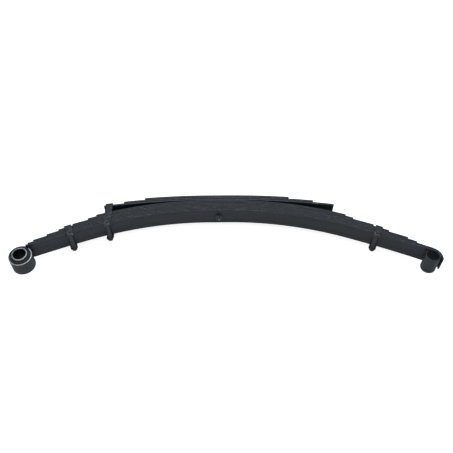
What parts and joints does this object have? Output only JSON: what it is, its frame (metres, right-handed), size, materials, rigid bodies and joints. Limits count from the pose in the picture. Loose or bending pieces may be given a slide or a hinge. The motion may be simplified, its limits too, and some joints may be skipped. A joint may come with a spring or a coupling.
{
  "type": "leaf spring",
  "caption": "Multi-leaf suspension spring with overload leaves, a bushed eye at one end, a wrapped eye at the other, and bolted rebound clips.",
  "frame": {"origin": "centre of the centre bolt's round head, on its end face, where the head locates the axle", "axes": "+X along the spring from the bushed front eye to the open rear eye, +Y away from the hollow side towards the axle, +Z along the axes of the eyes, up as the spring lies on its side"},
  "size_m": [1.3895, 0.2861, 0.0981],
  "materials": {
    "leaf_paint": "satin black paint over spring steel, slightly streaked and scuffed",
    "clip_paint": "satin black paint, a little lighter on the edges",
    "fastener": "satin black paint over steel bolts, nuts, spacers and rivets",
    "rubber": "matt black moulded rubber",
    "sleeve_steel": "bright turned steel"
  },
  "bodies": {
    "leaf_pack": {"main_leaf_1": "leaf_paint", "main_leaf_2": "leaf_paint", "main_leaf_3": "leaf_paint", "main_leaf_4": "leaf_paint", "main_leaf_5": "leaf_paint", "main_leaf_6": "leaf_paint", "main_leaf_7": "leaf_paint", "main_leaf_8": "leaf_paint", "overload_leaf_1": "leaf_paint", "overload_leaf_2": "leaf_paint", "overload_leaf_3": "leaf_paint", "centre_bolt": "fastener", "centre_bolt_nut": "fastener", "middle_clip_strap": "clip_paint", "middle_clip_bolt": "fastener", "middle_clip_nut": "fastener", "middle_clip_spacer": "fastener", "middle_clip_rivet": "fastener"},
    "front_arm": {"front_eye_bush": "rubber", "front_clip_strap": "clip_paint", "front_clip_bolt": "fastener", "front_clip_nut": "fastener", "front_clip_spacer": "fastener", "front_clip_rivet": "fastener"},
    "front_sleeve": {"front_eye_sleeve": "sleeve_steel"},
    "rear_arm": {"rear_clip_strap": "clip_paint", "rear_clip_bolt": "fastener", "rear_clip_nut": "fastener", "rear_clip_spacer": "fastener", "rear_clip_rivet": "fastener"}
  },
  "joints": [
    {"name": "front_flex", "type": "hinge", "parent": "leaf_pack", "child": "front_arm", "pos_m": [-0.236, -0.09, 0], "axis": [0, 0, -1], "range_deg": [0, 12], "stiffness_Nm_per_rad": 1500, "deforming": ["main_leaf_1", "main_leaf_2", "main_leaf_3", "main_leaf_4", "main_leaf_5", "main_leaf_6", "main_leaf_7", "main_leaf_8"]},
    {"name": "rear_flex", "type": "hinge", "parent": "leaf_pack", "child": "rear_arm", "pos_m": [0.25, -0.09, 0], "axis": [0, 0, 1], "range_deg": [0, 12], "stiffness_Nm_per_rad": 1500, "deforming": ["main_leaf_1", "main_leaf_2", "main_leaf_3", "main_leaf_4", "main_leaf_5", "main_leaf_6", "main_leaf_7", "main_leaf_8"]},
    {"name": "front_eye_pivot", "type": "hinge", "parent": "front_arm", "child": "front_sleeve", "pos_m": [-0.635, -0.2452, 0], "axis": [0, 0, 1], "range_deg": [-25, 25], "stiffness_Nm_per_rad": 30}
  ]
}
